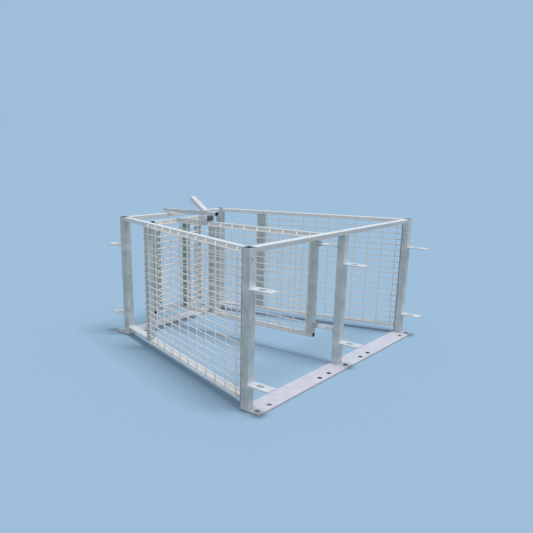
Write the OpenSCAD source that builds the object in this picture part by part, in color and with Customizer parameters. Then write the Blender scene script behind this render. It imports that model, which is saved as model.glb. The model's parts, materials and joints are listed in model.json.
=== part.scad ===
// Sheep drafting gate: a trapezoid frame that is narrow at the inlet and wide at
// the exit, with a T-shaped gate hung from the middle exit post. Swinging the gate
// sends each animal to the left or to the right exit.
// X runs across the gate, Y from the exit (-Y) to the inlet (+Y), Z is up.

/* [Overall] */
// Distance between the centres of the outer exit posts
exit_w = 2100; // [1700:10:2600]
// Distance between the centres of the inlet posts
inlet_w = 1150; // [1000:10:1300]
// Distance between the exit and the inlet post centres
frame_len = 1700; // [1500:10:2000]
// Height of the frame above the floor
frame_h = 1000; // [900:10:1200]

/* [Posts] */
// Side of the square corner posts
post_w = 60; // [50:1:75]
// Side of the square middle exit post
mid_post_w = 60; // [45:1:70]
// Wall of the posts
post_wall = 3; // [2:0.5:4]

/* [Rails] */
// Width of the rails of the sides, the inlet and the gate
rail_w = 40; // [30:1:45]
// Width of the exit top rail
exit_rail_w = 50; // [40:1:55]
// Height of the top rails and of the gate's rails
rail_h = 30; // [25:1:50]
// Wall of the rails and stiles
rail_wall = 2.5; // [2:0.5:4]
// Height of the bottom rails of the side panels above the floor
low_rail_z = 62; // [40:1:140]
// Width of the flat bars that are the bottom rails of the sides
low_rail_w = 65; // [50:1:90]
// Thickness of these flat bars
low_rail_h = 14; // [10:1:20]
// Open slot between an inlet post and the mesh of its side panel
wing_slot = 365; // [300:5:450]
// Width of the stiles that end the side mesh
stile_w = 70; // [50:1:80]

/* [Base plates] */
// Width of the base plates
plate_w = 150; // [110:1:170]
// Thickness of the base plates
plate_t = 12; // [8:0.5:16]
// Diameter of the peg holes
peg_hole_d = 35; // [16:1:40]
// Distance from the post centres out to the peg holes
peg_out = 76; // [55:1:90]
// Distance between two peg holes of a pair
peg_pitch = 118; // [90:1:130]
// Distance from a corner post's centre in to its first peg hole
peg_inset = 6; // [0:1:40]
// Distance from the middle post out to the centre of each inner pair of peg holes
peg_group = 288; // [200:1:400]
// Diameter of the vent holes in the posts
vent_d = 10; // [6:1:14]

/* [Lugs] */
// Length of a joining lug from the face of its post
lug_len = 160; // [120:1:180]
// Width of a joining lug
lug_w = 80; // [60:1:90]
// Thickness of a lug
lug_t = 8; // [6:0.5:10]
// Distance from the top of the frame down to the upper lugs
lug_drop = 240; // [180:5:320]
// Height of the lower lugs
lug_low_z = 172; // [150:1:250]
// Width of the slot in a lug
slot_w = 36; // [16:1:44]
// Length of the slot in a lug
slot_len = 56; // [45:1:75]

/* [Mesh] */
// Diameter of the mesh wire
wire_d = 8; // [5:0.5:9]
// Distance between the upright wires
pitch_x = 120; // [100:5:150]
// Distance between the level wires
pitch_z = 50; // [40:5:75]

/* [Gate] */
// Distance from the middle post to the hinge pins
hinge_reach = 190; // [150:5:220]
// Distance from the hinge pins to the centre of the wings
gate_reach = 1400; // [1300:5:1420]
// Length of the wings, end to end
wing_len = 600; // [480:5:620]
// Height of the gate's bottom edge above the floor
gate_z = 165; // [140:5:200]
// Clearance under the side rails
gate_clear = 8; // [6:1:20]
// Angle of the gate from the middle, towards the left exit post
gate_turn = 4; // [0:0.5:10]
// Distance from the top of the gate down to the upper hinge lug
hinge_drop = 82; // [70:1:140]
// Distance from the bottom of the gate up to the lower hinge lug
hinge_rise = 93; // [70:1:150]
// Diameter of the hinge pins
pin_d = 16; // [12:1:20]
// Radial clearance of the hinge pins
pin_clear = 0.1; // [0.05:0.01:0.1]
// Width of the hinge lugs
hinge_lug_w = 32; // [28:1:36]
// Width of the gate's hinge stile
hinge_w = 56; // [40:1:65]
// Depth of the gate's hinge stile
hinge_d = 50; // [40:1:65]
// Clearance between the tips of the hinge lugs and the hinge stile
hinge_clear = 6; // [5:1:12]
// Distance that the gate's top rail reaches past the hinge pins
rail_over = 32; // [10:1:45]
// Distance from the hinge pins to the latch stile
latch_reach = 1020; // [960:5:1080]
// Distance from the hinge pins to the end stile
end_reach = 1305; // [1250:5:1310]

/* [Guide and handle] */
// Width of the sleeve between the gate's top rail and the guide bar
sleeve_w = 110; // [60:1:120]
// Length of the sleeve along the gate
sleeve_len = 70; // [50:1:110]
// Height of the guide bar
bar_h = 30; // [25:1:40]
// Width of the guide bar
bar_w = 40; // [30:1:45]
// Clearance between the guide bar and the inlet top rail
bar_clear = 12; // [6:1:16]
// Distance that the guide bar stands out of the sleeve towards the exit
bar_back = 75; // [0:5:120]
// Length of the handle
handle_len = 150; // [100:5:260]
// Width of the handle
handle_w = 55; // [35:1:100]
// Depth of the handle
handle_d = 35; // [20:1:50]
// Slope of the handle
handle_slope = 36; // [30:1:60]

/* [Hidden] */

zinc = [0.74, 0.77, 0.78];
zinc_light = [0.86, 0.87, 0.90];
zinc_dark = [0.62, 0.67, 0.68];
plate_edge = post_w / 2;          // the plates reach this far inside the post centres
exit_y = -frame_len / 2;
inlet_y = frame_len / 2;
rail_z = frame_h - rail_h;        // underside of the top rails
side_run = (exit_w - inlet_w) / 2;
side_len = sqrt(frame_len * frame_len + side_run * side_run);
side_angle = atan2(side_run, frame_len);   // lean of a side from the Y axis
corner_r = 4;                     // outer corner of the rolled tubes
cut = 1;                          // a cut reaches this far past the faces it opens
stile_at = wing_slot + post_w / 2 + stile_w / 2;
low_rail_top = low_rail_z + low_rail_h;
lug_high_z = frame_h - lug_drop;
hinge_y = exit_y + hinge_reach;
gate_top = rail_z - gate_clear;
gate_h = gate_top - gate_z;
stile_z = gate_z + rail_h;
stile_h = gate_h - 2 * rail_h;
hinge_high_z = gate_top - hinge_drop;
hinge_low_z = gate_z + hinge_rise;
ear_t = 8;
ear_gap = 1;                      // play between a hinge lug and the ear above it
pin_head_d = 26;
pin_head_h = 6;
pin_tail = 14;                    // a pin stands out this far below its lug
hinge_back = hinge_lug_w / 2 + hinge_clear;  // from the hinge pins to the hinge stile
rail_end = gate_reach - rail_w / 2;
mesh_edge = 8;                    // the mesh stops this far inside the outline it covers
wing_stile_w = 60;
wing_stile_in = 8;                // the wing's rails stand out this far past its stiles
bar_z = frame_h + bar_clear;
latch_stile_d = 50;
end_stile_d = 60;
slot_end = 62;                    // from the tip of a lug to its slot
sleeve_wall = 5;
sleeve_h = bar_z - gate_top;
bar_over = 25;                    // the guide bar reaches this far past the inlet top rail
sleeve_start = latch_reach + latch_stile_d / 2;
bar_start = sleeve_start - bar_back;
handle_start = sleeve_start + 15; // the handle's foot begins here, on top of the guide bar
bar_end = (inlet_y - hinge_y) / cos(gate_turn) + bar_over;
end_plate_t = 6;
end_plate_lip = 4;                // the end plate stands out this far at the sides of the bar
end_plate_up = 14;                // and this far above it

// ---------- profiles ----------

// Square-cornered tube section with rolled corners, centred on the origin
module tube_section(w, h, wall, r = corner_r) {
    difference() {
        soft_rect(w, h, r);
        soft_rect(w - 2 * wall, h - 2 * wall, max(r - wall, 0.5));
    }
}

module soft_rect(w, h, r) {
    union() {
        square([w - 2 * r, h], center = true);
        square([w, h - 2 * r], center = true);
        for (x = [-1, 1], y = [-1, 1])
            translate([x * (w / 2 - r), y * (h / 2 - r)]) circle(r = r, $fn = 32);
    }
}

// Upright tube with its foot on the XY plane
module upright_tube(w, d, wall, h) {
    linear_extrude(h) tube_section(w, d, wall);
}

// Level tube along +X that starts at the origin, centred on the X axis
module level_tube(len, w, h, wall) {
    rotate([90, 0, 90]) linear_extrude(len) tube_section(w, h, wall);
}

// Folded channel, w across its web and d deep, open towards -Y
module channel(w, d, wall, h) {
    linear_extrude(h) difference() {
        soft_rect(w, d, corner_r);
        translate([0, -wall]) square([w - 2 * wall, d], center = true);
    }
}

// ---------- frame ----------

// Open-topped post that stands on a base plate, with a vent hole in the face at -Y
module post(w, h, vent_z) {
    color(zinc_dark) translate([0, 0, plate_t]) difference() {
        upright_tube(w, w, post_wall, h - plate_t);
        translate([0, -w / 2 + post_wall + cut, vent_z]) rotate([90, 0, 0])
            cylinder(d = vent_d, h = post_wall + 2 * cut, $fn = 32);
    }
}

// Flat plate under a row of posts, from half a post inside their centres outwards
module base_plate(len, pegs) {
    color(zinc_light) difference() {
        translate([-len / 2, -plate_w + plate_edge, 0]) cube([len, plate_w, plate_t]);
        for (x = pegs)
            translate([x, -peg_out, -cut]) cylinder(d = peg_hole_d, h = plate_t + 2 * cut, $fn = 48);
    }
}

module exit_base_plate() {
    outer = exit_w / 2 - peg_inset;
    right = [peg_group - peg_pitch / 2, peg_group + peg_pitch / 2, outer - peg_pitch, outer];
    translate([0, exit_y, 0]) base_plate(exit_w + post_w, concat(-right, [0], right));
}

module inlet_base_plate() {
    outer = inlet_w / 2 - peg_inset;
    right = [outer - peg_pitch, outer];
    translate([0, inlet_y, 0]) rotate([0, 0, 180])
        base_plate(inlet_w + post_w, concat(-right, [0], right));
}

exit_vent_z = frame_h - 80;
inlet_vent_z = frame_h / 2;
mid_vent_drop = 16;               // from the exit rail down to the middle post's vent

module left_exit_post() { translate([-exit_w / 2, exit_y, 0]) post(post_w, frame_h, exit_vent_z); }
module right_exit_post() { translate([exit_w / 2, exit_y, 0]) post(post_w, frame_h, exit_vent_z); }
module left_inlet_post() { translate([-inlet_w / 2, inlet_y, 0]) post(post_w, frame_h, inlet_vent_z); }
module right_inlet_post() { translate([inlet_w / 2, inlet_y, 0]) post(post_w, frame_h, inlet_vent_z); }
module middle_exit_post() { translate([0, exit_y, 0]) post(mid_post_w, rail_z, rail_z - mid_vent_drop); }

// The exit rail has a vent hole in its top, beside the middle post
module exit_top_rail() {
    span = exit_w - post_w;
    color(zinc) difference() {
        translate([-span / 2, exit_y, frame_h - rail_h / 2])
            level_tube(span, exit_rail_w, rail_h, rail_wall);
        translate([mid_post_w, exit_y, frame_h - rail_wall - cut])
            cylinder(d = vent_d, h = rail_wall + 2 * cut, $fn = 32);
    }
}

module inlet_top_rail() {
    span = inlet_w - post_w;
    color(zinc) translate([-span / 2, inlet_y, frame_h - rail_h / 2])
        level_tube(span, rail_w, rail_h, rail_wall);
}

// ---------- side panels ----------

// Places its children on a side, -1 for the left one and 1 for the right one: X runs
// from the inlet post to the exit post and Y points out of the yard
module on_side(side) {
    mirror([side < 0 ? 1 : 0, 0, 0]) translate([inlet_w / 2, inlet_y, 0])
        rotate([0, 0, side_angle - 90]) children();
}

// Cuts a rail of height h, given as its child, to the faces of the inlet and the exit post
module side_rail(side, z, h) {
    color(zinc) difference() {
        translate([0, 0, z + h / 2]) on_side(side) children();
        for (at = [[inlet_w / 2, inlet_y], [exit_w / 2, exit_y]])
            translate([side * at[0], at[1], z + h / 2])
                cube([4 * post_w, post_w, h + 2 * cut], center = true);
    }
}

module top_side_rail(side) {
    side_rail(side, rail_z, rail_h) level_tube(side_len, rail_w, rail_h, rail_wall);
}

// Flat bar, flush with the outside of the stiles, with a drain hole by each post
module bottom_side_rail(side) {
    side_rail(side, low_rail_z, low_rail_h) difference() {
        translate([0, rail_w / 2 - low_rail_w, -low_rail_h / 2])
            cube([side_len, low_rail_w, low_rail_h]);
        for (x = [post_w, side_len - post_w])
            translate([x, (rail_w - low_rail_w) / 2, -low_rail_h / 2 - cut])
                cylinder(d = vent_d, h = low_rail_h + 2 * cut, $fn = 32);
    }
}

module left_top_rail() { top_side_rail(-1); }
module right_top_rail() { top_side_rail(1); }
module left_bottom_rail() { bottom_side_rail(-1); }
module right_bottom_rail() { bottom_side_rail(1); }

module side_stile(side) {
    color(zinc_dark) translate([0, 0, low_rail_top]) on_side(side)
        translate([stile_at, 0, 0]) upright_tube(stile_w, rail_w, rail_wall, rail_z - low_rail_top);
}

module left_stile() { side_stile(-1); }
module right_stile() { side_stile(1); }

// A sheet of welded mesh in the XZ plane that starts at the origin. Its upright wires
// stand at the start, at lead and then every pitch_x. The level wires lie on their
// side at +Y, sunk a little as the welds press them.
module mesh_sheet(len, h, lead) {
    rows = floor((h - 2 * wire_d) / pitch_z);
    for (x = concat([wire_d], [for (x = [lead : pitch_x : len - wire_d]) x]))
        translate([x, 0, 0]) cylinder(d = wire_d, h = h, $fn = 8);
    for (j = [0 : rows])
        translate([0, wire_d * 0.7, wire_d + j * pitch_z]) rotate([0, 90, 0])
            cylinder(d = wire_d, h = len, $fn = 8);
}

// The mesh of a side, counted from its exit end
module side_mesh(side) {
    far = side_len - (post_w - rail_w * sin(side_angle)) / 2 / cos(side_angle);
    near = stile_at - stile_w / 2 + mesh_edge;
    color(zinc_light) on_side(side)
        translate([far, rail_w / 2 + wire_d / 2, low_rail_z]) mirror([1, 0, 0])
            mesh_sheet(far - near, frame_h - low_rail_z - mesh_edge, pitch_x / 2);
}

module left_mesh() { side_mesh(-1); }
module right_mesh() { side_mesh(1); }

// ---------- lugs ----------

// Round-ended slot through a lug, centred on the origin and long in Y
module lug_slot() {
    translate([0, 0, -cut]) linear_extrude(lug_t + 2 * cut) union() {
        square([slot_w, slot_len - slot_w], center = true);
        for (y = [-1, 1])
            translate([0, y * (slot_len - slot_w) / 2]) circle(d = slot_w, $fn = 48);
    }
}

// Flat slotted lug, from the origin along -Y
module lug() {
    difference() {
        translate([-lug_w / 2, -lug_len, 0]) cube([lug_w, lug_len, lug_t]);
        translate([0, -lug_len + slot_end + slot_len / 2, 0]) lug_slot();
    }
}

// The upper and the lower lug of a post of width w, turned to the inlet by a turn of 180
module post_lugs(x, y, w, turn) {
    color(zinc_light)
        for (z = [lug_low_z, lug_high_z])
            translate([x, y, z]) rotate([0, 0, turn]) translate([0, -w / 2, 0]) lug();
}

module left_exit_lugs() { post_lugs(-exit_w / 2, exit_y, post_w, 0); }
module middle_exit_lugs() { post_lugs(0, exit_y, mid_post_w, 0); }
module right_exit_lugs() { post_lugs(exit_w / 2, exit_y, post_w, 0); }
module left_inlet_lugs() { post_lugs(-inlet_w / 2, inlet_y, post_w, 180); }
module right_inlet_lugs() { post_lugs(inlet_w / 2, inlet_y, post_w, 180); }

// ---------- hinge ----------

// Slotted lug on the middle post that narrows to an eye for the hinge pin
module hinge_lug() {
    len = hinge_reach - mid_post_w / 2;
    eye = hinge_lug_w / 2;
    neck = lug_w / 2;             // the lug has its full width from here to the post
    difference() {
        union() {
            hinge_plate(len, lug_t);
            linear_extrude(lug_t)
                polygon([[-eye, eye], [eye, eye], [lug_w / 2, neck], [lug_w / 2, len],
                         [-lug_w / 2, len], [-lug_w / 2, neck]]);
        }
        translate([0, (neck + len) / 2, 0]) lug_slot();
    }
}

module hinge_lugs() {
    color(zinc_light)
        for (z = [hinge_low_z, hinge_high_z])
            translate([0, hinge_y, z]) rotate([0, 0, 180]) hinge_lug();
}

// Places its children on the hinge axis, turned with the gate, which runs along +Y
module on_gate() {
    translate([0, hinge_y, 0]) rotate([0, 0, gate_turn]) children();
}

module gate_hinge_stile() {
    color(zinc_dark) on_gate() translate([0, hinge_back + hinge_d / 2, stile_z])
        upright_tube(hinge_w, hinge_d, rail_wall, stile_h);
}

// Round-ended plate of thickness t that holds a hinge pin at the origin, len long to its root
module hinge_plate(len, t) {
    difference() {
        union() {
            translate([-hinge_lug_w / 2, 0, 0]) cube([hinge_lug_w, len, t]);
            cylinder(d = hinge_lug_w, h = t, $fn = 64);
        }
        translate([0, 0, -cut])
            cylinder(d = pin_d + 2 * pin_clear, h = t + 2 * cut, $fn = 64);
    }
}

// The gate's own hinge plates, each riding on top of a hinge lug
module hinge_ears() {
    color(zinc_dark) on_gate()
        for (z = [hinge_low_z, hinge_high_z])
            translate([0, 0, z + lug_t + ear_gap]) hinge_plate(hinge_back, ear_t);
}

module hinge_pins() {
    above = lug_t + ear_gap + ear_t;
    below = pin_tail;
    color(zinc) on_gate()
        for (z = [hinge_low_z, hinge_high_z]) translate([0, 0, z]) union() {
            translate([0, 0, -below]) cylinder(d = pin_d, h = below + above, $fn = 64);
            translate([0, 0, above]) cylinder(d = pin_head_d, h = pin_head_h, $fn = 6);
        }
}

// ---------- gate ----------

module gate_rail(start, z) {
    color(zinc) on_gate() translate([0, start, z + rail_h / 2])
        rotate([0, 0, 90]) level_tube(rail_end - start, rail_w, rail_h, rail_wall);
}

module gate_top_rail() { gate_rail(-rail_over, gate_top - rail_h); }
module gate_bottom_rail() { gate_rail(hinge_back, gate_z); }

module gate_latch_stile() {
    color(zinc_dark) on_gate() translate([0, latch_reach, stile_z])
        upright_tube(rail_w, latch_stile_d, rail_wall, stile_h);
}

// Channel that is open towards the side that carries the mesh
module gate_end_stile() {
    color(zinc_dark) on_gate() translate([0, end_reach, stile_z]) rotate([0, 0, -90])
        channel(end_stile_d, rail_w, rail_wall, stile_h);
}

module gate_mesh() {
    mesh_start = hinge_back + hinge_d;
    mesh_end = rail_end - mesh_edge - wire_d;     // clear of the wires of the wing
    color(zinc_light) on_gate()
        translate([-rail_w / 2 - wire_d / 2, mesh_start, gate_z + mesh_edge]) rotate([0, 0, 90])
            mesh_sheet(mesh_end - mesh_start, gate_h - 2 * mesh_edge, pitch_x);
}

module wing_rail(z) {
    color(zinc) on_gate() translate([-wing_len / 2, gate_reach, z + rail_h / 2])
        level_tube(wing_len, rail_w, rail_h, rail_wall);
}

module wing_top_rail() { wing_rail(gate_top - rail_h); }
module wing_bottom_rail() { wing_rail(gate_z); }

module wing_stile(side) {
    x = wing_len / 2 - wing_stile_in - wing_stile_w / 2;
    color(zinc_dark) on_gate() translate([side * x, gate_reach, stile_z])
        upright_tube(wing_stile_w, rail_w, rail_wall, stile_h);
}

module wing_left_stile() { wing_stile(-1); }
module wing_right_stile() { wing_stile(1); }

// The wing's mesh lies on the side of the exit and is cut out round the gate's rails
module wing_mesh() {
    len = wing_len - 2 * wing_stile_in - 2 * mesh_edge;
    slack = 2;
    color(zinc_light) on_gate() difference() {
        translate([len / 2, gate_reach - rail_w / 2 - wire_d / 2, gate_z + mesh_edge])
            rotate([0, 0, 180]) mesh_sheet(len, gate_h - 2 * mesh_edge, len / 2 - pitch_x);
        for (z = [gate_z - slack, gate_top - rail_h - slack])
            translate([-rail_w / 2 - slack, gate_reach - 2 * rail_w, z])
                cube([rail_w + 2 * slack, 2 * rail_w, rail_h + 2 * slack]);
    }
}

// ---------- guide and handle ----------

// Open-ended box on the gate's top rail that carries the guide bar
module handle_sleeve() {
    color(zinc) on_gate()
        translate([0, sleeve_start, gate_top + sleeve_h / 2]) rotate([0, 0, 90])
            level_tube(sleeve_len, sleeve_w, sleeve_h, sleeve_wall);
}

module guide_bar() {
    color(zinc) on_gate() translate([0, bar_start, bar_z + bar_h / 2])
        rotate([0, 0, 90]) level_tube(bar_end - bar_start, bar_w, bar_h, rail_wall);
}

module guide_end_plate() {
    color(zinc) on_gate() translate([-bar_w / 2 - end_plate_lip, bar_end, bar_z])
        cube([bar_w + 2 * end_plate_lip, end_plate_t, bar_h + end_plate_up]);
}

// Tube that rises from the guide bar towards the inlet, its foot cut level
module handle() {
    foot = handle_d / sin(handle_slope);
    color(zinc_light) on_gate()
        translate([0, handle_start + foot, bar_z + bar_h])
            difference() {
                rotate([handle_slope, 0, 0]) translate([0, -handle_d, handle_d / 2])
                    rotate([0, 0, 90])
                        level_tube(handle_len + handle_d, handle_w, handle_d, rail_wall);
                translate([-handle_w, -2 * handle_len, -2 * handle_len])
                    cube([2 * handle_w, 4 * handle_len, 2 * handle_len]);
            }
}

exit_base_plate();
inlet_base_plate();
left_exit_post();
middle_exit_post();
right_exit_post();
left_inlet_post();
right_inlet_post();
exit_top_rail();
inlet_top_rail();
left_top_rail();
right_top_rail();
left_bottom_rail();
right_bottom_rail();
left_stile();
right_stile();
left_mesh();
right_mesh();
left_exit_lugs();
middle_exit_lugs();
right_exit_lugs();
left_inlet_lugs();
right_inlet_lugs();
hinge_lugs();
hinge_pins();
hinge_ears();
gate_hinge_stile();
gate_latch_stile();
gate_end_stile();
gate_top_rail();
gate_bottom_rail();
gate_mesh();
wing_top_rail();
wing_bottom_rail();
wing_left_stile();
wing_right_stile();
wing_mesh();
handle_sleeve();
guide_bar();
guide_end_plate();
handle();
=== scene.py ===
import json
import math
import random
import bpy
import bmesh
from mathutils import Matrix, Vector


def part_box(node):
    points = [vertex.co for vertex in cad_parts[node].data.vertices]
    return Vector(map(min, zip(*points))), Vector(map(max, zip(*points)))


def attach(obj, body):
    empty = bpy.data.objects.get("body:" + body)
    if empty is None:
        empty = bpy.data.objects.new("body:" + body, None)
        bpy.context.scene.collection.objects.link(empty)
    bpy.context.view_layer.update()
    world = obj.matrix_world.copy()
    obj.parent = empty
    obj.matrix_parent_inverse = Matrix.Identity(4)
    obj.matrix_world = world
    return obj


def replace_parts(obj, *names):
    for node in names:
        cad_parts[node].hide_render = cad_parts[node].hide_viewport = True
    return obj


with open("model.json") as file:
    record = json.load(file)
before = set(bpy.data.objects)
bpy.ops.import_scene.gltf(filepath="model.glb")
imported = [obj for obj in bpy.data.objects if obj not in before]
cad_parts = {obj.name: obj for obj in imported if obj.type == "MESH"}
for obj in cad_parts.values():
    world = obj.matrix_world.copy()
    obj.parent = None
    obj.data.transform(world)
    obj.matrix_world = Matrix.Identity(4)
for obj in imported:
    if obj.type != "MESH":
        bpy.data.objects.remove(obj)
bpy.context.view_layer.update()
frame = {"nodes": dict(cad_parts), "record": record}
scene = bpy.context.scene
nodes = frame["nodes"]
print("frame loaded:", len(nodes), "nodes")

# Main sizes of the yard frame and the gate, in metres, and two angles in degrees.
# What is said of the gate is measured from the hinge pins along the gate.
layout = {
    "exitWidth": 2.1, "inletWidth": 1.15, "length": 1.7, "height": 1.0,
    "post": 0.06, "plateThick": 0.012, "pegOut": 0.076, "pegRadius": 0.0175,
    "railWide": 0.04, "railHigh": 0.03, "exitRailWide": 0.05, "wall": 0.0025,
    "lowRailZ": 0.062, "lowRailHigh": 0.014, "lowRailWide": 0.065,
    "stileWide": 0.07, "wingSlot": 0.365,
    "lugLow": 0.172, "lugHigh": 0.76, "lugThick": 0.008,
    "hingeReach": 0.19, "hingeLow": 0.258, "hingeHigh": 0.88,
    "gateTurn": 4.0, "gateZ": 0.165, "gateTop": 0.962, "gateReach": 1.4, "wingLength": 0.6,
    "hingeStile": (0.022, 0.072),
    "latchReach": 1.02, "latchDeep": 0.05, "endReach": 1.305, "endDeep": 0.06,
    "wingStileWide": 0.06, "wingStileIn": 0.008,
    "sleeveStart": 1.045, "sleeveLength": 0.07, "sleeveWide": 0.11,
    "barZ": 1.012, "barHigh": 0.03, "barWide": 0.04, "barOver": 0.025,
    "handleStart": 1.06, "handleWide": 0.055, "handleDeep": 0.035, "handleSlope": 36.0,
}
east = Vector((1, 0, 0))
north = Vector((0, 1, 0))
up = Vector((0, 0, 1))

exitY, inletY = -layout["length"] / 2, layout["length"] / 2
sideRun = (layout["exitWidth"] - layout["inletWidth"]) / 2
sideLength = math.hypot(layout["length"], sideRun)
sideAngle = math.atan2(sideRun, layout["length"])
stileAt = layout["wingSlot"] + layout["post"] / 2 + layout["stileWide"] / 2
hingeY = exitY + layout["hingeReach"]
gateTurn = math.radians(layout["gateTurn"])
gatePlace = Matrix.Translation((0, hingeY, 0)) @ Matrix.Rotation(gateTurn, 4, "Z")
barEnd = (inletY - hingeY) / math.cos(gateTurn) + layout["barOver"]
handleSlope = math.radians(layout["handleSlope"])
handleFoot = layout["handleDeep"] / math.sin(handleSlope)


def sidePlace(side):
    # X runs from the inlet post to the exit post, Y points out of the yard
    start = Matrix.Translation((layout["inletWidth"] / 2, inletY, 0))
    turn = Matrix.Rotation(sideAngle - math.pi / 2, 4, "Z")
    return Matrix.Diagonal((side, 1, 1, 1)) @ start @ turn


# Where the camera stands, in metres, and how it is turned, in degrees
cameraView = {
    "place": (-3.499, -2.861, 1.508),
    "heading": 39.16,       # from +X towards +Y
    "pitch": 14.85,         # below the horizon
    "roll": 0.97,
    "lens": 38.15,
    "shift": (0.03, 0.07),
}


def makeCamera(view):
    data = bpy.data.cameras.new("camera")
    data.lens = view["lens"]
    data.shift_x, data.shift_y = view["shift"]
    cam = bpy.data.objects.new("camera", data)
    scene.collection.objects.link(cam)
    heading = Matrix.Rotation(math.radians(view["heading"] - 90), 4, "Z")
    pitch = Matrix.Rotation(math.radians(90 - view["pitch"]), 4, "X")
    roll = Matrix.Rotation(math.radians(view["roll"]), 4, "Z")
    cam.matrix_world = Matrix.Translation(view["place"]) @ (heading @ pitch @ roll)
    scene.camera = cam


makeCamera(cameraView)


class Link:
    # Wraps a shader's socket, so that sums and products of links add their Math nodes
    def __init__(self, tree, socket=None):
        self.tree = tree
        self.socket = socket

    def node(self, kind, settings=None, sockets=None, out=0):
        # Any node: its settings come first, then the values or links of its sockets
        made = self.tree.nodes.new(kind)
        for name, value in (settings or {}).items():
            setattr(made, name, value)
        for key, value in (sockets or {}).items():
            if isinstance(value, Link):
                self.tree.links.new(value.socket, made.inputs[key])
            else:
                made.inputs[key].default_value = value
        return Link(self.tree, made.outputs[out])

    def maths(self, operation, first, second=0.0, clamp=False):
        settings = {"operation": operation, "use_clamp": clamp}
        return self.node("ShaderNodeMath", settings, {0: first, 1: second})

    def __add__(self, other):
        return self.maths("ADD", self, other)

    def __radd__(self, other):
        return self.maths("ADD", other, self)

    def __sub__(self, other):
        return self.maths("SUBTRACT", self, other)

    def __rsub__(self, other):
        return self.maths("SUBTRACT", other, self)

    def __mul__(self, other):
        return self.maths("MULTIPLY", self, other)

    def __rmul__(self, other):
        return self.maths("MULTIPLY", other, self)

    def __lt__(self, other):
        return self.maths("LESS_THAN", self, other)

    def __gt__(self, other):
        return self.maths("GREATER_THAN", self, other)

    def __abs__(self):
        return self.maths("ABSOLUTE", self)

    def clamped(self):
        return self.maths("ADD", self, 0.0, clamp=True)

    def ramp(self, low, high):
        # 0 below low, 1 above high, smooth between
        return self.node("ShaderNodeMapRange", {"interpolation_type": "SMOOTHSTEP"},
                         {0: self, 1: low, 2: high, 3: 0.0, 4: 1.0})

    def blend(self, dark, light):
        # colour from dark to light as this link goes from 0 to 1
        return self.node("ShaderNodeMix", {"data_type": "RGBA"}, {0: self, 6: dark, 7: light}, out=2)

    def noise(self, pattern, scale=1.0):
        # pattern is the scale, detail and roughness of the noise
        size, detail, rough = pattern
        sockets = {"Vector": self, "Scale": size * scale, "Detail": detail, "Roughness": rough}
        return self.node("ShaderNodeTexNoise", {}, sockets)

    def cells(self, scale, out):
        # a Voronoi pattern: out 0 is the distance from a cell's centre, out 1 its random colour
        sockets = {"Vector": self, "Scale": scale}
        return self.node("ShaderNodeTexVoronoi", {"feature": "F1"}, sockets, out)

    def stretched(self, x, y, z):
        return self.node("ShaderNodeMapping", {}, {"Vector": self, "Scale": (x, y, z)})

    def along(self, centre, direction):
        # distance of each point from a centre, along a direction
        apart = self.vector("SUBTRACT", self, tuple(centre), 0)
        return self.vector("DOT_PRODUCT", apart, tuple(direction), 1)

    def vector(self, operation, first, second, out):
        return self.node("ShaderNodeVectorMath", {"operation": operation}, {0: first, 1: second}, out)

    def red(self):
        return self.node("ShaderNodeSeparateColor", {}, {0: self})

    def height(self):
        return self.node("ShaderNodeSeparateXYZ", {}, {0: self}, out=2)


# Hot-dip zinc by slot: dark and light are the two tones that the mottling runs between
zincFinishes = {
    # the posts' tones lean to blue, a painted reflection of the blue surroundings
    "posts":  {"dark": (0.43, 0.50, 0.52), "light": (0.655, 0.725, 0.75), "mottle": 0.7, "streak": 0.6,
               "spangle": 0.3, "metal": 0.2, "rough": 0.42, "specks": 0.6},
    "stiles": {"dark": (0.43, 0.495, 0.51), "light": (0.65, 0.715, 0.735), "mottle": 0.7, "streak": 0.6,
               "spangle": 0.3, "metal": 0.2, "rough": 0.44, "specks": 0.6},
    "rails":  {"dark": (0.70, 0.715, 0.715), "light": (0.88, 0.885, 0.88), "mottle": 0.6, "streak": 0.1,
               "spangle": 0.25, "metal": 0.2, "rough": 0.42, "specks": 0.3},
    "plates": {"dark": (0.62, 0.62, 0.70), "light": (0.76, 0.75, 0.84), "mottle": 0.6, "streak": 0.0,
               "spangle": 0.2, "metal": 0.15, "rough": 0.5, "specks": 0.2},
    "lugs":   {"dark": (0.72, 0.74, 0.77), "light": (0.88, 0.89, 0.91), "mottle": 0.6, "streak": 0.0,
               "spangle": 0.3, "metal": 0.2, "rough": 0.42, "specks": 0.2},
    "mesh":   {"dark": (0.90, 0.92, 0.92), "light": (0.98, 0.985, 0.98), "mottle": 0.7, "streak": 0.0,
               "spangle": 0.2, "metal": 0.0, "rough": 0.40, "specks": 0.0},
    "hinge":  {"dark": (0.40, 0.44, 0.46), "light": (0.62, 0.66, 0.68), "mottle": 0.8, "streak": 0.0,
               "spangle": 0.3, "metal": 0.4, "rough": 0.42, "specks": 0.3},
    "pins":   {"dark": (0.34, 0.37, 0.38), "light": (0.55, 0.58, 0.60), "mottle": 0.8, "streak": 0.0,
               "spangle": 0.2, "metal": 0.6, "rough": 0.36, "specks": 0.3},
    "guide":  {"dark": (0.60, 0.64, 0.66), "light": (0.80, 0.83, 0.85), "mottle": 0.7, "streak": 0.1,
               "spangle": 0.3, "metal": 0.25, "rough": 0.42, "specks": 0.3},
    "welds":  {"dark": (0.52, 0.56, 0.58), "light": (0.74, 0.77, 0.79), "mottle": 0.9, "streak": 0.0,
               "spangle": 0.2, "metal": 0.3, "rough": 0.46, "specks": 0.0},
    "handle": {"dark": (0.68, 0.70, 0.74), "light": (0.88, 0.89, 0.92), "mottle": 0.6, "streak": 0.0,
               "spangle": 0.25, "metal": 0.2, "rough": 0.42, "specks": 0.2},
}

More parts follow.
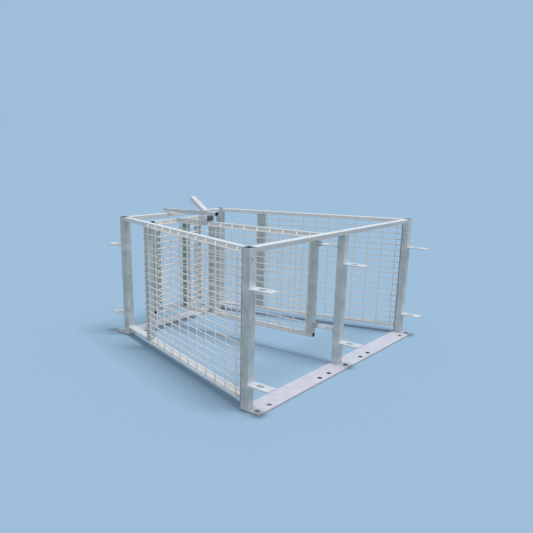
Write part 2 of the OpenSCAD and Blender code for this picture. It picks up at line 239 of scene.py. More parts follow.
# The patterns of the zinc: scale, detail and roughness of each noise
grain = {
    "mottle": (13.0, 4.0, 0.62), "broad": (4.0, 2.0, 0.5), "grit": (420.0, 2.0, 0.6),
    "runs": (1.0, 3.0, 0.6), "runStretch": (48, 48, 2.6), "bloom": (7.0, 5.0, 0.7),
    "crystalScale": 105.0,
    "speckScale": 38.0, "speckSize": 0.10, "speckFields": (17.0, 1.0, 0.55),
}

# How far each pattern changes the tone, the roughness and the height of the surface
sway = {
    "mottleTone": 2.6, "broadTone": 1.1, "runTone": 1.7, "gritTone": 0.35,
    "bloomRange": (0.56, 0.70), "bloomRuns": (0.40, 0.62), "bloomShare": 0.45, "bloomLight": 1.06,
    "speckRange": (0.52, 0.60), "speckDark": 0.45,
    "mottleRough": 0.35, "crystalRough": 0.14, "bloomRough": 0.16,
    "mottleHigh": 0.6, "runHigh": 0.5, "gritHigh": 0.22, "crystalHigh": 0.10, "speckDeep": 0.4,
    "bumpStrength": 0.35, "bumpDepth": 0.0016,
}

# Marks that lie over the pattern on some slots: their colours, shares and places in metres
marks = {
    "smear": (0.80, 0.83, 0.85, 1.0), "smearShare": 0.55, "smearReach": 0.055,
    "smearNoise": (30.0, 3.0, 0.55), "smearRagged": 0.05, "smearFoot": 0.03,
    # painted shade on the plates' side faces below their top face
    "edge": (0.36, 0.40, 0.44, 1.0), "edgeShadeShare": 0.75, "edgeShadeDepth": 0.0012,
    "edgeNoise": (60.0, 2.0, 0.55), "edgeRagged": 0.0012,
    # painted shade in the walls of most exit peg holes
    "paintedHoleShade": (0.03, 0.033, 0.04, 1.0), "paintedHoleShadeMiddle": 0.25, "paintedHoleShadeReach": 0.81, "paintedHoleShadeOver": 0.0004,
    # a painted highlight on the tops of the frame's rails
    "paintedRailTopHighlight": (0.98, 0.985, 0.99, 1.0), "paintedRailTopHighlightShare": 0.75, "paintedRailTopHighlightDepth": 0.002,
    # painted shade on the outer side of the exit rail
    "paintedExitRailSideShade": (0.42, 0.47, 0.50, 1.0), "paintedExitRailSideShadeShare": 0.55, "paintedExitRailSideShadeDepth": 0.003,
    "paintedExitRailSideShadeThick": 0.002,
}

# Painted shade inside open tubes and painted shadow in the joints between the exit posts and the mesh:
# the share of the dark tone that is left in each, how much of a tube's wall stays pale, in walls, and
# other pale edges and half widths in metres
paintedInsideShade = {
    "post": 0.18, "rail": 0.03, "handle": 0.05, "endStile": 1.5, "sleeve": 0.62,
    "joint": 0.22, "innerJoint": 0.4,
    "tubeWalls": 0.6, "channelWalls": 0.4, "postSkin": 0.0018, "sleeveSkin": 0.003,
    "jointHalf": (0.006, 0.0055), "innerJointHalf": (0.006, 0.009),
}

# Tubes drawn a little paler than their slot's zinc: the share of both tones; on right_top_rail the
# paler tones are a painted highlight on its inner side, which the sun leaves in shade
paler = {
    "middle_exit_post": 1.06, "right_exit_post": 1.12, "left_inlet_post": 1.05,
    "right_top_rail": 1.1,
}


def solid(colour, share=1.0):
    # a colour with its alpha, made paler or darker
    return tuple(value * share for value in colour) + (1.0,)


def zinc(name, finish, shade=None, paintedShadeBoxes=(), scale=1.0):
    # shade paints a slot's marks; each painted-shade box is a centre, two directions with a half width
    # along each, and the share of the dark tone that is left there
    material = bpy.data.materials.new(name)
    material.use_nodes = True
    tree = material.node_tree
    shader = tree.nodes["Principled BSDF"]
    place = Link(tree).node("ShaderNodeTexCoord", out=3)
    mottle = place.noise(grain["mottle"], scale)
    broad = place.noise(grain["broad"], scale)
    runs = place.stretched(*grain["runStretch"]).noise(grain["runs"])
    grit = place.noise(grain["grit"])
    crystal = place.cells(grain["crystalScale"] * scale, 1).red()
    tone = 0.5 + (mottle - 0.5) * (sway["mottleTone"] * finish["mottle"])
    tone = tone + (broad - 0.5) * (sway["broadTone"] * finish["mottle"])
    tone = tone + (runs - 0.5) * (sway["runTone"] * finish["streak"])
    tone = tone + (crystal - 0.5) * finish["spangle"]
    tone = (tone + (grit - 0.5) * sway["gritTone"]).clamped()
    colour = tone.blend(solid(finish["dark"]), solid(finish["light"]))
    # pale bloom in patches, with a duller skin
    bloom = place.noise(grain["bloom"], scale).ramp(*sway["bloomRange"])
    bloom = bloom * runs.ramp(*sway["bloomRuns"])
    pale = solid(finish["light"], sway["bloomLight"])
    colour = (bloom * sway["bloomShare"]).blend(colour, pale)
    # dark specks of dross
    speck = place.cells(grain["speckScale"], 0)
    fields = place.noise(grain["speckFields"]).ramp(*sway["speckRange"])
    dots = (speck < grain["speckSize"]) * fields * finish["specks"]
    colour = dots.blend(colour, solid(finish["dark"], sway["speckDark"]))
    if shade:
        colour = shade(place, colour)
    # painted shade inside open tubes and painted shadow in joints, box by box
    for centre, first, halfFirst, second, halfSecond, share in paintedShadeBoxes:
        inside = abs(place.along(centre, first)) < halfFirst
        inside = inside * (abs(place.along(centre, second)) < halfSecond)
        colour = inside.blend(colour, solid(finish["dark"], share))
    tree.links.new(colour.socket, shader.inputs["Base Color"])
    rough = finish["rough"] + (mottle - 0.5) * sway["mottleRough"]
    rough = rough + (crystal - 0.5) * sway["crystalRough"] + bloom * sway["bloomRough"]
    tree.links.new(rough.socket, shader.inputs["Roughness"])
    shader.inputs["Metallic"].default_value = finish["metal"]
    height = mottle * sway["mottleHigh"] + runs * (sway["runHigh"] * finish["streak"])
    height = height + grit * sway["gritHigh"] + crystal * sway["crystalHigh"]
    height = height - dots * sway["speckDeep"]
    sockets = {"Strength": sway["bumpStrength"], "Distance": sway["bumpDepth"], "Height": height}
    bump = height.node("ShaderNodeBump", {}, sockets)
    tree.links.new(bump.socket, shader.inputs["Normal"])
    return material


def jointSmears(place, colour):
    # zinc that ran paler round the lugs and the feet of the posts
    z = place.height()
    ragged = (place.noise(marks["smearNoise"]) - 0.5) * marks["smearRagged"]
    total = None
    for height in (layout["lugLow"], layout["lugHigh"], marks["smearFoot"]):
        near = 1.0 - abs(z + ragged - height).ramp(0.0, marks["smearReach"])
        total = near if total is None else total + near
    return (total * marks["smearShare"]).clamped().blend(colour, marks["smear"])


def plateEdgeAndHoleShade(place, colour):
    # painted shade on the side faces below a plate's top face, and painted shade in the walls of most
    # exit peg holes
    z = place.height()
    topZ = layout["plateThick"] - marks["edgeShadeDepth"]
    edge = (z + (place.noise(marks["edgeNoise"]) - 0.5) * marks["edgeRagged"]) < topZ
    colour = (edge * marks["edgeShadeShare"]).blend(colour, marks["edge"])
    offLine = abs(place.along((0, exitY - layout["pegOut"], 0), north))
    offMiddle = abs(place.along((marks["paintedHoleShadeMiddle"], 0, 0), east))
    # painted shade in the walls of the peg holes within reach of the middle
    paintedHoleShade = (z < topZ) * (offLine < layout["pegRadius"] + marks["paintedHoleShadeOver"])
    paintedHoleShade = paintedHoleShade * (offMiddle < marks["paintedHoleShadeReach"])
    return paintedHoleShade.blend(colour, marks["paintedHoleShade"])


def railPaintedLight(place, colour):
    # painted highlight on the tops of the frame's rails, and painted shade on the outer side of the
    # exit rail
    z = place.height()
    top = z > layout["height"] - marks["paintedRailTopHighlightDepth"]
    colour = (top * marks["paintedRailTopHighlightShare"]).blend(colour, marks["paintedRailTopHighlight"])
    offSide = abs(place.along((0, exitY - layout["exitRailWide"] / 2, 0), north))
    side = (offSide < marks["paintedExitRailSideShadeThick"]) * (z < layout["height"] - marks["paintedExitRailSideShadeDepth"])
    return (side * marks["paintedExitRailSideShadeShare"]).blend(colour, marks["paintedExitRailSideShade"])


def postPaintedShade():
    # painted shade in the open tops of the posts, and painted shadow in the joints between the exit
    # posts and the mesh
    size, mark = layout, paintedInsideShade
    paintedShadeBoxes = {}
    inner = size["post"] / 2 - mark["postSkin"]
    for name in ("left_exit_post", "right_exit_post", "left_inlet_post", "right_inlet_post"):
        low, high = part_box(name)
        middle = (Vector(low) + Vector(high)) / 2
        paintedShadeBoxes[name] = [(middle, east, inner, north, inner, mark["post"])]
    jointY = exitY + size["post"] / 2
    outer, inner = (size["exitWidth"] + size["post"]) / 2, (size["exitWidth"] - size["post"]) / 2
    # painted shadow where the mesh meets the exit posts
    for name, x, half, share in (("left_exit_post", -outer, "jointHalf", "joint"),
                                 ("right_exit_post", outer, "jointHalf", "joint"),
                                 ("right_exit_post", inner, "innerJointHalf", "innerJoint")):
        across, along = mark[half]
        paintedShadeBoxes[name].append(((x, jointY, 0), east, across, north, along, mark[share]))
    return paintedShadeBoxes


def gatePaintedShade():
    # painted shade inside the gate's open tubes, by node
    size, mark = layout, paintedInsideShade
    thin = size["wall"] * mark["tubeWalls"]
    turn = gatePlace.to_3x3()
    gateX, gateY = turn @ east, turn @ north
    paintedShadeBoxes = {}
    wide, high = size["railWide"] / 2 - thin, size["railHigh"] / 2 - thin
    for level, z in (("top", size["gateTop"] - size["railHigh"] / 2),
                     ("bottom", size["gateZ"] + size["railHigh"] / 2)):
        start, end = gatePlace @ Vector((0, 0, z)), gatePlace @ Vector((0, size["gateReach"], z))
        paintedShadeBoxes["gate_%s_rail" % level] = [(start, gateX, wide, up, high, mark["rail"])]
        paintedShadeBoxes["wing_%s_rail" % level] = [(end, gateY, wide, up, high, mark["rail"])]
    wide, high = size["barWide"] / 2 - thin, size["barHigh"] / 2 - thin
    bar = gatePlace @ Vector((0, 0, size["barZ"] + size["barHigh"] / 2))
    paintedShadeBoxes["guide_bar"] = [(bar, gateX, wide, up, high, mark["rail"])]
    wide, deep = size["handleWide"] / 2 - thin, size["handleDeep"] / 2 - thin
    lean = turn @ Vector((0, -math.sin(handleSlope), math.cos(handleSlope)))
    root = gatePlace @ Vector((0, size["handleStart"] + handleFoot, size["barZ"] + size["barHigh"]))
    middle = root + lean * size["handleDeep"] / 2
    paintedShadeBoxes["handle"] = [(middle, gateX, wide, lean, deep, mark["handle"])]
    wide = size["railWide"] / 2 - size["wall"] * mark["channelWalls"]
    deep = size["endDeep"] / 2 - thin
    channel = gatePlace @ Vector((-size["wall"] / 2, size["endReach"], 0))
    paintedShadeBoxes["gate_end_stile"] = [(channel, gateX, wide, gateY, deep, mark["endStile"])]
    wide = size["sleeveWide"] / 2 - mark["sleeveSkin"]
    high = (size["barZ"] - size["gateTop"]) / 2 - mark["sleeveSkin"]
    sleeve = gatePlace @ Vector((0, 0, (size["gateTop"] + size["barZ"]) / 2))
    paintedShadeBoxes["handle_sleeve"] = [(sleeve, gateX, wide, up, high, mark["sleeve"])]
    return paintedShadeBoxes


def toned(finish, share):
    # a copy of a finish with its two tones made paler or darker
    copy = dict(finish)
    for key in ("dark", "light"):
        copy[key] = tuple(value * share for value in finish[key])
    return copy


def dressNodes():
    slotOf = {part["node"]: part["material_slot"] for part in frame["record"]["subparts"]}
    paintedShadeBoxes = {**postPaintedShade(), **gatePaintedShade()}
    shades = {"posts": jointSmears, "plates": plateEdgeAndHoleShade, "rails": railPaintedLight}
    shared = {}
    for name, node in nodes.items():
        slot = slotOf[name]
        finish, shade = zincFinishes[slot], shades.get(slot)
        if name in paintedShadeBoxes or name in paler:
            own = toned(finish, paler.get(name, 1.0))
            material = zinc("zinc_" + name, own, shade, paintedShadeBoxes.get(name, ()))
        else:
            if slot not in shared:
                shared[slot] = zinc("zinc_" + slot, finish, shade)
            material = shared[slot]
        node.data.materials.clear()
        node.data.materials.append(material)
    print("nodes dressed:", len(nodes))


dressNodes()
meshZinc = zinc("zincWire", zincFinishes["mesh"], scale=2.2)
weldZinc = zinc("zincWeld", zincFinishes["welds"], scale=2.0)
pinZinc = zinc("zincPin", zincFinishes["pins"], scale=2.0)


def finishPiece(bm, name, body, material):
    bmesh.ops.recalc_face_normals(bm, faces=bm.faces)
    mesh = bpy.data.meshes.new(name)
    for face in bm.faces:
        face.smooth = True
    bm.to_mesh(mesh)
    bm.free()
    mesh.materials.append(material)
    piece = bpy.data.objects.new(name, mesh)
    scene.collection.objects.link(piece)
    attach(piece, body)
    return piece


def rod(bm, start, end, radius, sides, steps=1, wave=None, swell=None):
    # a round bar between two points, in a mesh of its own before it is added
    # wave(share) is how far it strays sideways, swell(share) how thick it is there
    axis = end - start
    turn = axis.to_track_quat("Z", "Y").to_matrix()
    small = bmesh.new()
    circle = bmesh.ops.create_circle(small, cap_ends=True, segments=sides, radius=radius,
                                     matrix=Matrix.Translation(start) @ turn.to_4x4())
    edges, ring = list(small.edges), circle["verts"]
    strayed, thick = Vector(), 1.0
    if swell:
        thick = swell(0.0)
        bmesh.ops.scale(small, vec=(thick,) * 3, space=Matrix.Translation(-start), verts=ring)
    for step in range(1, steps + 1):
        made = bmesh.ops.extrude_edge_only(small, edges=edges)["geom"]
        ring = [g for g in made if isinstance(g, bmesh.types.BMVert)]
        edges = [g for g in made if isinstance(g, bmesh.types.BMEdge)]
        away = turn @ Vector(wave(step / steps)) if wave else Vector()
        bmesh.ops.translate(small, verts=ring, vec=axis / steps + away - strayed)
        strayed = away
        if swell:
            share = swell(step / steps) / thick
            centre = start + axis * (step / steps) + away
            bmesh.ops.scale(small, vec=(share,) * 3, space=Matrix.Translation(-centre), verts=ring)
            thick *= share
    bmesh.ops.contextual_create(small, geom=edges)
    shape = bpy.data.meshes.new("rod")
    small.to_mesh(shape)
    small.free()
    bm.from_mesh(shape)
    bpy.data.meshes.remove(shape)


# Welded mesh, in metres: round wires that are welded where they cross
wireMesh = {
    "wire": 0.008, "pitchAcross": 0.12, "pitchUp": 0.05,
    "sides": 10, "uprightSteps": 8, "levelSteps": 10,
    "sink": 0.7,            # how far the level wires lie over the upright ones, in wires
    "edge": 0.008,          # the sheets stop this far inside what they cover
    "bow": 0.0008,          # how far a wire strays from straight
    "cutSlack": 0.002,      # room round the gate's rails where the wing's sheet is cut away
    "nugget": (0.0049, 0.0044, 0.0052), "nuggetSpread": (0.9, 1.12),
    "puddle": (0.0085, 0.0055, 0.0055), "puddleSpread": (0.85, 1.2), "puddleSag": 0.002,
    "railPuddle": (0.0062, 0.0045, 0.0075), "railPuddleSpread": (0.85, 1.2),
    "railPuddleAt": (0.003, -0.002), "railPuddleIn": 0.012,
    "hingePuddle": 0.005,   # from the edge of the gate's sheet
    "stilePuddle": 0.024, "endPuddle": 0.028,       # from the middle of a stile
}


def makeDrop():
    # a small ball, one unit in radius
    small = bmesh.new()
    bmesh.ops.create_uvsphere(small, u_segments=8, v_segments=5, radius=1.0)
    shape = bpy.data.meshes.new("drop")
    small.to_mesh(shape)
    small.free()
    return shape


drop = makeDrop()


def lump(bm, place, at, kind, chance):
    # a lump of weld, a little different each time
    size = [s * chance.uniform(*wireMesh[kind + "Spread"]) for s in wireMesh[kind]]
    copy = drop.copy()
    copy.transform(place @ Matrix.Translation(at) @ Matrix.Diagonal(size + [1]))
    bm.from_mesh(copy)
    bpy.data.meshes.remove(copy)


def slightBend(bow, chance):
    # how a wire strays a little between its ends
    waves = [(chance.uniform(-bow, bow), chance.uniform(-bow, bow), n) for n in (1, 2, 3)]

    def wave(share):
        bends = [(x, y, math.sin(math.pi * n * share)) for x, y, n in waves]
        return (sum(x * bend for x, y, bend in bends), sum(y * bend for x, y, bend in bends), 0)
    return wave


def wireSheet(bm, place, length, height, lead, chance, levelSpans=None, uprightSpan=None):
    # upright wires on Y 0 with level wires over them; the spans say where a cut sheet has its wires
    wire, sides, bow = wireMesh["wire"], wireMesh["sides"], wireMesh["bow"]
    slack = 1e-6        # against rounding
    rows = int((height - 2 * wire) / wireMesh["pitchUp"] + slack)
    levels = [wire + row * wireMesh["pitchUp"] for row in range(rows + 1)]
    uprights = [wire]
    x = lead
    while x <= length - wire + slack:
        uprights.append(x)
        x += wireMesh["pitchAcross"]
    over = wire * wireMesh["sink"]
    for x in uprights:
        low, high = uprightSpan(x) if uprightSpan else (0, height)
        start, end = place @ Vector((x, 0, low)), place @ Vector((x, 0, high))
        rod(bm, start, end, wire / 2, sides, wireMesh["uprightSteps"], slightBend(bow, chance))
    for z in levels:
        for low, high in levelSpans(z) if levelSpans else [(0, length)]:
            start, end = place @ Vector((low, over, z)), place @ Vector((high, over, z))
            rod(bm, start, end, wire / 2, sides, wireMesh["levelSteps"], slightBend(bow, chance))
    for x in uprights:
        for z in levels:
            if uprightSpan and not uprightSpan(x)[0] <= z <= uprightSpan(x)[1]:
                continue
            lump(bm, place, (x, over / 2, z), "nugget", chance)
    return uprights, levels


def puddles(bm, place, columns, levels, chance):
    # pools of weld where the level wires cross a stile
    for z in levels:
        for x in columns:
            lump(bm, place, (x, 0, z - wireMesh["puddleSag"]), "puddle", chance)


def railPuddles(bm, place, uprights, heights, chance):
    # pools of weld where the upright wires end on the rails
    aside, behind = wireMesh["railPuddleAt"]
    for x in uprights:
        for z in heights:
            lump(bm, place, (x + aside, behind, z), "railPuddle", chance)


def sideMesh(name, side, seed):
    size, wire = layout, wireMesh["wire"]
    chance = random.Random(seed)
    postOver = (size["post"] - size["railWide"] * math.sin(sideAngle)) / 2 / math.cos(sideAngle)
    far = sideLength - postOver
    near = stileAt - size["stileWide"] / 2 + wireMesh["edge"]
    height = size["height"] - size["lowRailZ"] - wireMesh["edge"]
    corner = Matrix.Translation((-far, size["railWide"] / 2 + wire / 2, size["lowRailZ"]))
    place = sidePlace(side) @ Matrix.Diagonal((-1, 1, 1, 1)) @ corner
    bm = bmesh.new()
    uprights, levels = wireSheet(bm, place, far - near, height, wireMesh["pitchAcross"] / 2, chance)
    stile, apart = far - stileAt, wireMesh["stilePuddle"]
    puddles(bm, place, (stile - apart, stile + apart), levels, chance)
    ends = (size["lowRailHigh"] / 2, height - wireMesh["railPuddleIn"])
    railPuddles(bm, place, uprights, ends, chance)
    return finishPiece(bm, name, "yard_frame", meshZinc)


def gateMesh():
    size, wire = layout, wireMesh["wire"]
    chance = random.Random(31)
    start = size["hingeStile"][1]
    end = size["gateReach"] - size["railWide"] / 2 - wireMesh["edge"] - wire
    low, high = size["gateZ"] + wireMesh["edge"], size["gateTop"] - wireMesh["edge"]
    corner = Matrix.Translation((-size["railWide"] / 2 - wire / 2, start, low))
    place = gatePlace @ corner @ Matrix.Rotation(math.pi / 2, 4, "Z")
    bm = bmesh.new()
    uprights, levels = wireSheet(bm, place, end - start, high - low, wireMesh["pitchAcross"], chance)
    latch, stile = size["latchReach"] - start, size["endReach"] - start
    apart, inset = wireMesh["endPuddle"], wireMesh["railPuddleIn"]
    columns = (wireMesh["hingePuddle"], latch, stile - apart, stile + apart)
    puddles(bm, place, columns, levels, chance)
    railPuddles(bm, place, uprights, (inset, high - low - inset), chance)
    return finishPiece(bm, "gateWireSheet", "gate", meshZinc)


def wingMesh():
    size, wire = layout, wireMesh["wire"]
    chance = random.Random(47)
    length = size["wingLength"] - 2 * size["wingStileIn"] - 2 * wireMesh["edge"]
    low, high = size["gateZ"] + wireMesh["edge"], size["gateTop"] - wireMesh["edge"]
    middle, height = length / 2, high - low
    corner = Matrix.Translation((middle, size["gateReach"] - size["railWide"] / 2 - wire / 2, low))
    place = gatePlace @ corner @ Matrix.Rotation(math.pi, 4, "Z")
    half = size["railWide"] / 2 + wireMesh["cutSlack"]
    depth = size["railHigh"] - wireMesh["edge"] + wireMesh["cutSlack"]

    def levelSpans(z):
        # the sheet is cut away round the gate's rails
        whole = depth < z < height - depth
        return [(0, length)] if whole else [(0, middle - half), (middle + half, length)]

    def uprightSpan(x):
        return (depth, height - depth) if abs(x - middle) < half else (0, height)

    bm = bmesh.new()
    lead = middle - wireMesh["pitchAcross"]
    levels = wireSheet(bm, place, length, height, lead, chance, levelSpans, uprightSpan)[1]
    inset = size["wingStileWide"] / 2 - wireMesh["edge"] / 2
    puddles(bm, place, (inset, length - inset), levels, chance)
    return finishPiece(bm, "wingWireSheet", "gate", meshZinc)


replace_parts(sideMesh("leftWireSheet", -1, 11), "left_mesh")
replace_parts(sideMesh("rightWireSheet", 1, 23), "right_mesh")
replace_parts(gateMesh(), "gate_mesh")
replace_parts(wingMesh(), "wing_mesh")
print("welded mesh made")

# Weld beads: sizes in metres, then how thick the beads of each joint are, in throats
welds = {
    "throat": 0.0042,       # half the width of a bead
    "ripple": 0.0032,       # from one ripple of a bead to the next
    "crest": 1.08, "dip": 0.90, "uneven": 0.12,
    "taper": (0.45, 0.8),   # at a bead's end and one step in
    "drift": 0.0005, "sides": 7,
    "proud": 0.001,         # how far beads round a tube's end lie off its face
    "short": 0.003,         # how far beads stop short of a tube's corners
    "leafLevels": (0.002, 0.009), "leafHalf": 0.015, "handleShort": 0.002,
    "plate": 1.15, "lug": 1.0, "rail": 0.8, "lowRail": 1.0, "stile": 0.9,
    "gate": 0.85, "leaf": 0.7, "handle": 0.9, "barEnd": 0.45,
}
still = Matrix.Identity(4)
railMiddle = layout["height"] - layout["railHigh"] / 2
railHalf = layout["railHigh"] / 2 - welds["short"]


def bead(bm, place, start, end, chance, kind):
    # a rippled run of weld between two points of a placed frame
    start, end = place @ Vector(start), place @ Vector(end)
    steps = max(4, round((end - start).length / (welds["ripple"] / 2)))
    ripples = [chance.uniform(1 - welds["uneven"], 1 + welds["uneven"]) for _ in range(steps + 1)]

    def swell(share):
        step = round(share * steps)
        fromEnd = min(step, steps - step)
        taper = welds["taper"][fromEnd] if fromEnd < len(welds["taper"]) else 1.0
        return ripples[step] * taper * (welds["crest"] if step % 2 else welds["dip"])
    drift = slightBend(welds["drift"], chance)
    rod(bm, start, end, welds["throat"] * welds[kind], welds["sides"], steps, drift, swell)


def beadBox(bm, place, centre, across, halfAcross, along, halfAlong, chance, kind):
    # four runs of weld round a rectangle
    corners = [Vector(centre) + across * a * halfAcross + along * b * halfAlong
               for a, b in ((-1, -1), (1, -1), (1, 1), (-1, 1))]
    for first, second in zip(corners, corners[1:] + corners[:1]):
        bead(bm, place, first, second, chance, kind)


def lugWelds(bm, x, y, heights, chance):
    # under and over the lugs on one face of a post
    half = layout["post"] / 2
    for z in heights:
        for level in (z, z + layout["lugThick"]):
            bead(bm, still, (x - half, y, level), (x + half, y, level), chance, "lug")


def postWelds(bm, chance):
    # round the feet of the posts, and at their lugs and hinge lugs
    size, half = layout, layout["post"] / 2
    exits = (-size["exitWidth"] / 2, 0, size["exitWidth"] / 2)
    inlets = (-size["inletWidth"] / 2, size["inletWidth"] / 2)
    posts = [(x, exitY, -1) for x in exits] + [(x, inletY, 1) for x in inlets]
    for x, y, out in posts:
        foot = (x, y, size["plateThick"] + welds["proud"])
        beadBox(bm, still, foot, east, half, north, half, chance, "plate")
        lugWelds(bm, x, y + out * half, (size["lugLow"], size["lugHigh"]), chance)
    lugWelds(bm, 0, exitY + half, (size["hingeLow"], size["hingeHigh"]), chance)


def topRailWelds(bm, chance):
    # where the exit and inlet rails meet their posts, and round the middle post's top
    size, half = layout, layout["post"] / 2
    for y, width, railWide in ((exitY, size["exitWidth"], size["exitRailWide"]),
                               (inletY, size["inletWidth"], size["railWide"])):
        for x in (half - width / 2, width / 2 - half):
            beadBox(bm, still, (x, y, railMiddle), north, railWide / 2, up, railHalf, chance, "rail")
    under = (0, exitY, size["height"] - size["railHigh"] - welds["proud"])
    beadBox(bm, still, under, east, half, north, size["exitRailWide"] / 2, chance, "rail")


def sideWelds(bm, side, chance):
    # where a side's rails meet its posts, and where its stile meets the rails
    size, half = layout, layout["post"] / 2
    slant = size["railWide"] / 2 / math.cos(sideAngle)
    lowTop = size["lowRailZ"] + size["lowRailHigh"]
    for y, width in ((exitY + half, size["exitWidth"]), (inletY - half, size["inletWidth"])):
        x = size["inletWidth"] / 2 + (inletY - y) * math.tan(sideAngle)
        beadBox(bm, still, (side * x, y, railMiddle), east, slant, up, railHalf, chance, "rail")
        outer = x + slant
        inner = max(outer - size["lowRailWide"] / math.cos(sideAngle), width / 2 - half)
        for z in (size["lowRailZ"], lowTop):
            bead(bm, still, (side * inner, y, z), (side * outer, y, z), chance, "lowRail")
    for z in (lowTop + welds["proud"], size["height"] - size["railHigh"] - welds["proud"]):
        beadBox(bm, sidePlace(side), (stileAt, 0, z), east, size["stileWide"] / 2,
                north, size["railWide"] / 2, chance, "stile")


def frameWelds():
    chance = random.Random(5)
    bm = bmesh.new()
    postWelds(bm, chance)
    topRailWelds(bm, chance)
    for side in (-1, 1):
        sideWelds(bm, side, chance)
    return finishPiece(bm, "frameWelds", "yard_frame", weldZinc)


def gateWelds():
    size = layout
    chance = random.Random(9)
    halfRail = size["railWide"] / 2
    low, high = size["gateZ"] + size["railHigh"], size["gateTop"] - size["railHigh"]
    front, back = size["hingeStile"]
    bm = bmesh.new()

    def box(x, y, z, halfX, halfY, kind="gate"):
        beadBox(bm, gatePlace, (x, y, z), east, halfX, north, halfY, chance, kind)

    def upright(y, z, halfWide, halfHigh, kind="gate"):
        beadBox(bm, gatePlace, (0, y, z), east, halfWide, up, halfHigh, chance, kind)

    # stiles between the rails
    for z in (low + welds["proud"], high - welds["proud"]):
        box(0, (front + back) / 2, z, halfRail, (back - front) / 2)
        box(0, size["latchReach"], z, halfRail, size["latchDeep"] / 2)
        box(0, size["endReach"], z, halfRail, size["endDeep"] / 2)
        for side in (-1, 1):
            x = side * (size["wingLength"] / 2 - size["wingStileIn"] - size["wingStileWide"] / 2)
            box(x, size["gateReach"], z, size["wingStileWide"] / 2, halfRail)
    # rails against the wing
    for z in (low - size["railHigh"] / 2, high + size["railHigh"] / 2):
        upright(size["gateReach"] - halfRail, z, halfRail, railHalf)
    # hinge leaves, sleeve, handle and the bar's end
    for lug in (size["hingeLow"], size["hingeHigh"]):
        for lift in welds["leafLevels"]:
            z, half = lug + size["lugThick"] + lift, welds["leafHalf"]
            bead(bm, gatePlace, (-half, front, z), (half, front, z), chance, "leaf")
    start = size["sleeveStart"] + welds["short"]
    end = size["sleeveStart"] + size["sleeveLength"] - welds["short"]
    for x in (-halfRail, halfRail):
        for z in (size["gateTop"], size["barZ"]):
            bead(bm, gatePlace, (x, start, z), (x, end, z), chance, "handle")
    barTop = size["barZ"] + size["barHigh"]
    footHalf = handleFoot / 2
    box(0, size["handleStart"] + footHalf, barTop, size["barWide"] / 2,
        footHalf - welds["handleShort"], "handle")
    upright(barEnd - welds["proud"], size["barZ"] + size["barHigh"] / 2, size["barWide"] / 2,
            size["barHigh"] / 2, "barEnd")
    return finishPiece(bm, "gateWelds", "gate", weldZinc)


# A split pin, in metres: its eye is on the +X side of the hinge pin and its tips on the other
splitPin = {
    "radius": 0.0013, "sides": 8, "drop": 0.009,
    "eyeAt": 0.0165, "eyeRadius": 0.0035, "eyeSteps": 12,
    "legs": (0.014, -0.012),
    "tips": (-0.0115, -0.019), "tipSpread": 0.007, "tipDrop": 0.001,
}


def splitPins():
    # a split pin through the tail of each hinge pin, with its tips bent apart
    pin = splitPin
    bm = bmesh.new()

    def wire(start, end):
        rod(bm, gatePlace @ Vector(start), gatePlace @ Vector(end), pin["radius"], pin["sides"])

    for z in (layout["hingeLow"] - pin["drop"], layout["hingeHigh"] - pin["drop"]):
        for side in (-1, 1):
            y = side * pin["radius"]
            wire((pin["legs"][0], y, z), (pin["legs"][1], y, z))
            tip = (pin["tips"][1], y + side * pin["tipSpread"], z - pin["tipDrop"])
            wire((pin["tips"][0], y, z), tip)
        eye = Matrix.Translation((pin["eyeAt"], 0, z)) @ Matrix.Rotation(math.pi / 2, 4, "X")
        steps = [2 * math.pi * n / pin["eyeSteps"] for n in range(pin["eyeSteps"] + 1)]
        rim = Vector((pin["eyeRadius"], 0, 0))
        corners = [eye @ (Matrix.Rotation(step, 3, "Z") @ rim) for step in steps]
        for first, second in zip(corners, corners[1:]):
            wire(first, second)
    return finishPiece(bm, "splitPins", "gate", pinZinc)


frameWelds()
gateWelds()
splitPins()
print("welds and split pins made")

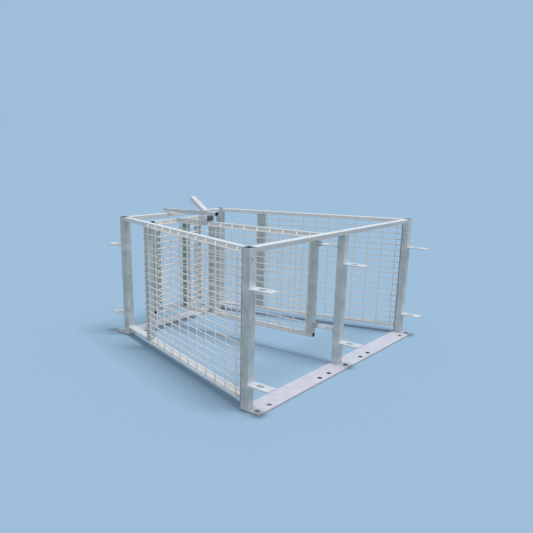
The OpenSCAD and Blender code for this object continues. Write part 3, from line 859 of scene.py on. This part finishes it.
# Light, sky and floor
studio = {
    "floorColour": (0.335, 0.50, 0.67, 1),
    "floorBounce": (0.40, 0.41, 0.42, 1),
    "floorSize": 400.0,
    "backColour": (0.342, 0.515, 0.694, 1),
    "skyColour": (0.97, 0.985, 1.0, 1),
    "skyStrength": 0.48,
    "sunStrength": 1.85,
    "sunFrom": (0.08, -0.28, 0.955),
    "sunAngle": 22.0,       # in degrees
}


def seenDirectly(tree):
    # 1 where the camera, a mirror or glass looks, 0 for light that bounces
    share = Link(tree).node("ShaderNodeLightPath", out="Is Camera Ray")
    for name in ("Is Glossy Ray", "Is Transmission Ray"):
        share = share.maths("MAXIMUM", share, share.node("ShaderNodeLightPath", out=name))
    return share


def makeSky(values):
    world = bpy.data.worlds.new("sky")
    scene.world = world
    world.use_nodes = True
    tree = world.node_tree
    background = tree.nodes["Background"]
    background.inputs["Color"].default_value = values["skyColour"]
    background.inputs["Strength"].default_value = values["skyStrength"]
    sky = Link(tree, background.outputs[0])
    seen = sky.node("ShaderNodeBackground", {}, {"Color": values["backColour"]})
    mix = sky.node("ShaderNodeMixShader", {}, {0: seenDirectly(tree), 1: sky, 2: seen})
    tree.links.new(mix.socket, tree.nodes["World Output"].inputs["Surface"])


def makeSun(values):
    lamp = bpy.data.lights.new("sun", "SUN")
    lamp.energy = values["sunStrength"]
    lamp.angle = math.radians(values["sunAngle"])
    sun = bpy.data.objects.new("sun", lamp)
    scene.collection.objects.link(sun)
    sun.rotation_euler = Vector(values["sunFrom"]).to_track_quat("Z", "Y").to_euler()


def makeFloor(values):
    bm = bmesh.new()
    bmesh.ops.create_grid(bm, x_segments=1, y_segments=1, size=values["floorSize"] / 2)
    mesh = bpy.data.meshes.new("floor")
    bm.to_mesh(mesh)
    bm.free()
    floor = bpy.data.objects.new("floor", mesh)
    scene.collection.objects.link(floor)
    paint = bpy.data.materials.new("floorPaint")
    paint.use_nodes = True
    tree = paint.node_tree
    shader = tree.nodes["Principled BSDF"]
    colour = seenDirectly(tree).blend(values["floorBounce"], values["floorColour"])
    tree.links.new(colour.socket, shader.inputs["Base Color"])
    shader.inputs["Roughness"].default_value = 1.0
    shader.inputs["Specular IOR Level"].default_value = 0.0
    mesh.materials.append(paint)


scene.view_settings.view_transform = "Standard"
makeSky(studio)
makeSun(studio)
makeFloor(studio)
print("studio ready")
